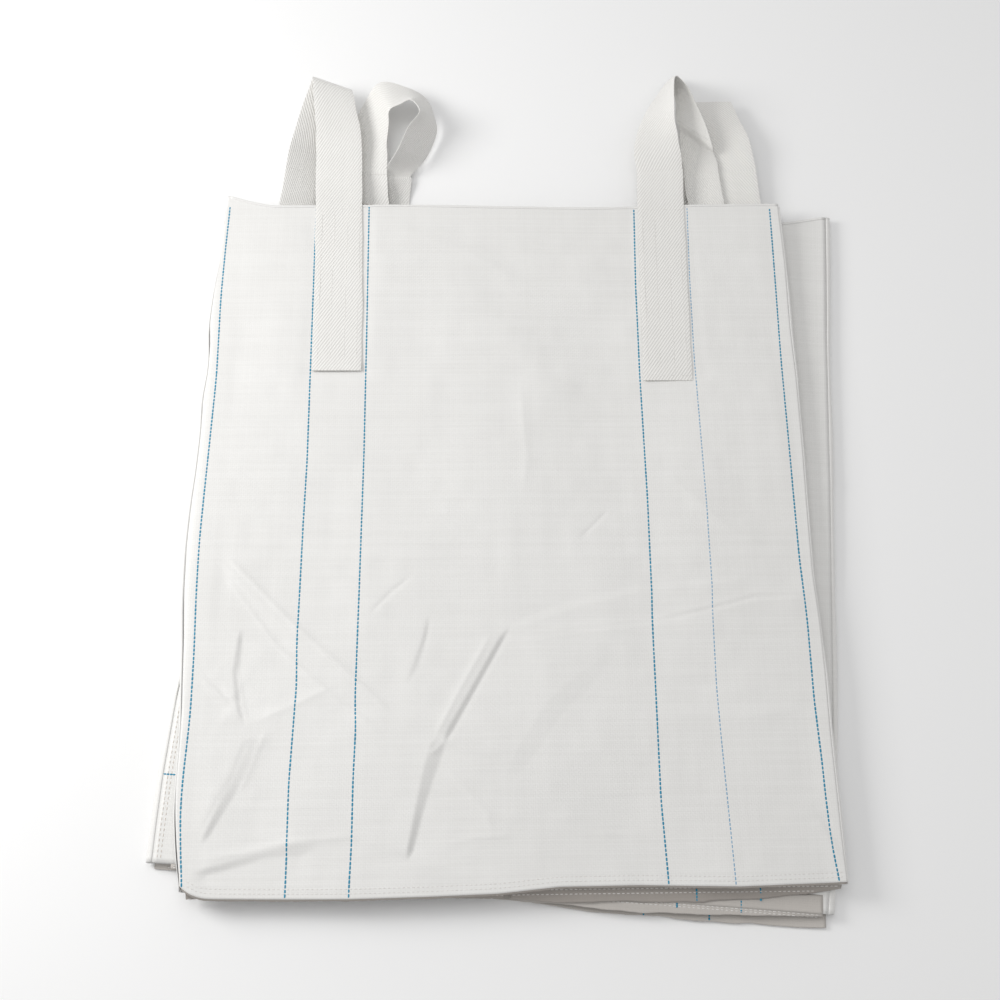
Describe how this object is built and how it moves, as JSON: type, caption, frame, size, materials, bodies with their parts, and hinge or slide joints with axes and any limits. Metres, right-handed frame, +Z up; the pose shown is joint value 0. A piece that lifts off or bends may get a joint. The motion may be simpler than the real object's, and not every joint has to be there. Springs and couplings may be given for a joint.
{
  "type": "bulk bag",
  "caption": "Flat-folded square woven bulk bag with inward-folded side panels, sewn base, open top and cross-corner webbing lifting loops.",
  "frame": {"origin": "on the floor under the middle of the folded bag, loops included", "axes": "+X across the bag, +Y from the base to the mouth, +Z up through the folded layers"},
  "size_m": [0.9942, 1.4045, 0.0651],
  "materials": {
    "woven_cloth": "matt off-white woven polypropylene",
    "webbing": "coarse warm white webbing",
    "marker_thread": "blue marker thread",
    "sewing_thread": "pale sewing thread"
  },
  "bodies": {
    "rear": {"rear_panel": "woven_cloth", "rear_rim_hem": "woven_cloth", "rear_base_seam": "woven_cloth", "rear_marker_threads": "marker_thread", "rear_stitching": "sewing_thread", "rear_left_panel_leg": "webbing", "rear_right_panel_leg": "webbing"},
    "left_side_rear": {"left_side_rear_half": "woven_cloth", "left_side_rear_hem": "woven_cloth", "left_side_rear_base_seam": "woven_cloth", "left_side_rear_marker_threads": "marker_thread", "left_side_rear_stitching": "sewing_thread", "rear_left_side_leg": "webbing"},
    "left_side_front": {"left_side_front_half": "woven_cloth", "left_side_front_hem": "woven_cloth", "left_side_front_base_seam": "woven_cloth", "left_side_front_marker_threads": "marker_thread", "left_side_front_stitching": "sewing_thread", "front_left_side_leg": "webbing"},
    "front": {"front_panel": "woven_cloth", "front_rim_hem": "woven_cloth", "front_base_seam": "woven_cloth", "front_marker_threads": "marker_thread", "front_stitching": "sewing_thread", "front_left_panel_leg": "webbing", "front_right_panel_leg": "webbing"},
    "right_side_rear": {"right_side_rear_half": "woven_cloth", "right_side_rear_hem": "woven_cloth", "right_side_rear_base_seam": "woven_cloth", "right_side_rear_marker_threads": "marker_thread", "right_side_rear_stitching": "sewing_thread", "rear_right_side_leg": "webbing"},
    "right_side_front": {"right_side_front_half": "woven_cloth", "right_side_front_hem": "woven_cloth", "right_side_front_base_seam": "woven_cloth", "right_side_front_marker_threads": "marker_thread", "right_side_front_stitching": "sewing_thread", "front_right_side_leg": "webbing"},
    "base_rear": {"base_rear_facet": "woven_cloth"},
    "base_front": {"base_front_facet": "woven_cloth"},
    "base_left_rear": {"base_left_rear_facet": "woven_cloth"},
    "base_right_rear": {"base_right_rear_facet": "woven_cloth"},
    "base_left_front": {"base_left_front_facet": "woven_cloth"},
    "base_right_front": {"base_right_front_facet": "woven_cloth"},
    "front_left_crown_panel": {"front_left_crown_panel_half": "webbing"},
    "front_left_crown_side": {"front_left_crown_side_half": "webbing"},
    "front_right_crown_panel": {"front_right_crown_panel_half": "webbing"},
    "front_right_crown_side": {"front_right_crown_side_half": "webbing"},
    "rear_left_crown_panel": {"rear_left_crown_panel_half": "webbing"},
    "rear_left_crown_side": {"rear_left_crown_side_half": "webbing"},
    "rear_right_crown_panel": {"rear_right_crown_panel_half": "webbing"},
    "rear_right_crown_side": {"rear_right_crown_side_half": "webbing"}
  },
  "joints": [
    {"name": "open", "type": "hinge", "parent": "rear", "child": "left_side_rear", "pos_m": [-0.44742, -0.05718, 0.00813], "axis": [-0.0872, -0.9962, 0], "range_deg": [0, 90]},
    {"name": "left_centre_crease", "type": "hinge", "parent": "left_side_rear", "child": "left_side_front", "pos_m": [-0.0101, -0.09545, 0.018], "axis": [-0.0436, -0.999, 0], "range_deg": [-180, 0]},
    {"name": "left_front_edge", "type": "hinge", "parent": "left_side_front", "child": "front", "pos_m": [-0.47111, -0.09545, 0.02788], "axis": [0, -1, 0], "range_deg": [0, 90]},
    {"name": "right_rear_edge", "type": "hinge", "parent": "rear", "child": "right_side_rear", "pos_m": [0.44916, -0.13562, 0.00813], "axis": [0.0872, 0.9962, 0], "range_deg": [0, 90]},
    {"name": "right_front_edge", "type": "hinge", "parent": "front", "child": "right_side_front", "pos_m": [0.42889, -0.09545, 0.02788], "axis": [0, -1, 0], "range_deg": [0, 90]},
    {"name": "base_rear_edge", "type": "hinge", "parent": "rear", "child": "base_rear", "pos_m": [-0.04706, -0.64431, 0.00462], "axis": [0.9962, -0.0872, 0], "range_deg": [0, 90]},
    {"name": "base_front_edge", "type": "hinge", "parent": "front", "child": "base_front", "pos_m": [-0.02111, -0.64545, 0.03138], "axis": [-1, 0, 0], "range_deg": [0, 90]},
    {"name": "base_left_rear_edge", "type": "hinge", "parent": "left_side_rear", "child": "base_left_rear", "pos_m": [-0.27121, -0.6247, 0.0118], "axis": [-0.9962, 0.0872, 0], "range_deg": [0, 90]},
    {"name": "base_right_rear_edge", "type": "hinge", "parent": "right_side_rear", "child": "base_right_rear", "pos_m": [0.17708, -0.66392, 0.0118], "axis": [-0.9962, 0.0872, 0], "range_deg": [0, 90]},
    {"name": "base_left_front_edge", "type": "hinge", "parent": "left_side_front", "child": "base_left_front", "pos_m": [-0.24611, -0.64545, 0.0242], "axis": [1, 0, 0], "range_deg": [0, 90]},
    {"name": "base_right_front_edge", "type": "hinge", "parent": "right_side_front", "child": "base_right_front", "pos_m": [0.20389, -0.64545, 0.0242], "axis": [1, 0, 0], "range_deg": [0, 90]},
    {"name": "left_loops_lift", "type": "hinge", "parent": "front", "child": "front_left_crown_panel", "pos_m": [-0.28811, 0.53656, 0.0226], "axis": [-1, 0, 0], "range_deg": [-90, 0]},
    {"name": "front_left_loop_corner", "type": "hinge", "parent": "front_left_crown_panel", "child": "front_left_crown_side", "pos_m": [-0.47111, 0.45455, 0.02788], "axis": [0, 1, 0], "range_deg": [0, 90]},
    {"name": "rear_left_loop_lift", "type": "hinge", "parent": "rear", "child": "rear_left_crown_panel", "pos_m": [-0.21811, 0.53656, 0.0226], "axis": [-1, 0, 0], "range_deg": [-90, 0]},
    {"name": "rear_left_loop_corner", "type": "hinge", "parent": "rear_left_crown_panel", "child": "rear_left_crown_side", "pos_m": [-0.39948, 0.49072, 0.00813], "axis": [-0.0872, -0.9962, 0], "range_deg": [0, 90]},
    {"name": "right_loops_lift", "type": "hinge", "parent": "front", "child": "front_right_crown_panel", "pos_m": [0.24589, 0.53656, 0.0226], "axis": [-1, 0, 0], "range_deg": [-90, 0]},
    {"name": "front_right_loop_corner", "type": "hinge", "parent": "front_right_crown_panel", "child": "front_right_crown_side", "pos_m": [0.42889, 0.45455, 0.02788], "axis": [0, -1, 0], "range_deg": [0, 90]},
    {"name": "rear_right_loop_lift", "type": "hinge", "parent": "rear", "child": "rear_right_crown_panel", "pos_m": [0.31589, 0.53656, 0.0226], "axis": [-1, 0, 0], "range_deg": [-90, 0]},
    {"name": "rear_right_loop_corner", "type": "hinge", "parent": "rear_right_crown_panel", "child": "rear_right_crown_side", "pos_m": [0.4971, 0.41228, 0.00813], "axis": [0.0872, 0.9962, 0], "range_deg": [0, 90]}
  ],
  "couplings": [
    {"joint": "left_centre_crease", "follows": "open", "ratio": -2},
    {"joint": "left_front_edge", "follows": "open", "ratio": 1},
    {"joint": "right_rear_edge", "follows": "open", "ratio": 1},
    {"joint": "right_front_edge", "follows": "open", "ratio": 1},
    {"joint": "base_rear_edge", "follows": "open", "ratio": 1},
    {"joint": "base_front_edge", "follows": "open", "ratio": 1},
    {"joint": "base_left_rear_edge", "follows": "open", "ratio": 1},
    {"joint": "base_right_rear_edge", "follows": "open", "ratio": 1},
    {"joint": "base_left_front_edge", "follows": "open", "ratio": 1},
    {"joint": "base_right_front_edge", "follows": "open", "ratio": 1},
    {"joint": "front_left_loop_corner", "follows": "open", "ratio": 1},
    {"joint": "rear_left_loop_lift", "follows": "left_loops_lift", "ratio": 1},
    {"joint": "rear_left_loop_corner", "follows": "open", "ratio": 1},
    {"joint": "front_right_loop_corner", "follows": "open", "ratio": 1},
    {"joint": "rear_right_loop_lift", "follows": "right_loops_lift", "ratio": 1},
    {"joint": "rear_right_loop_corner", "follows": "open", "ratio": 1}
  ]
}
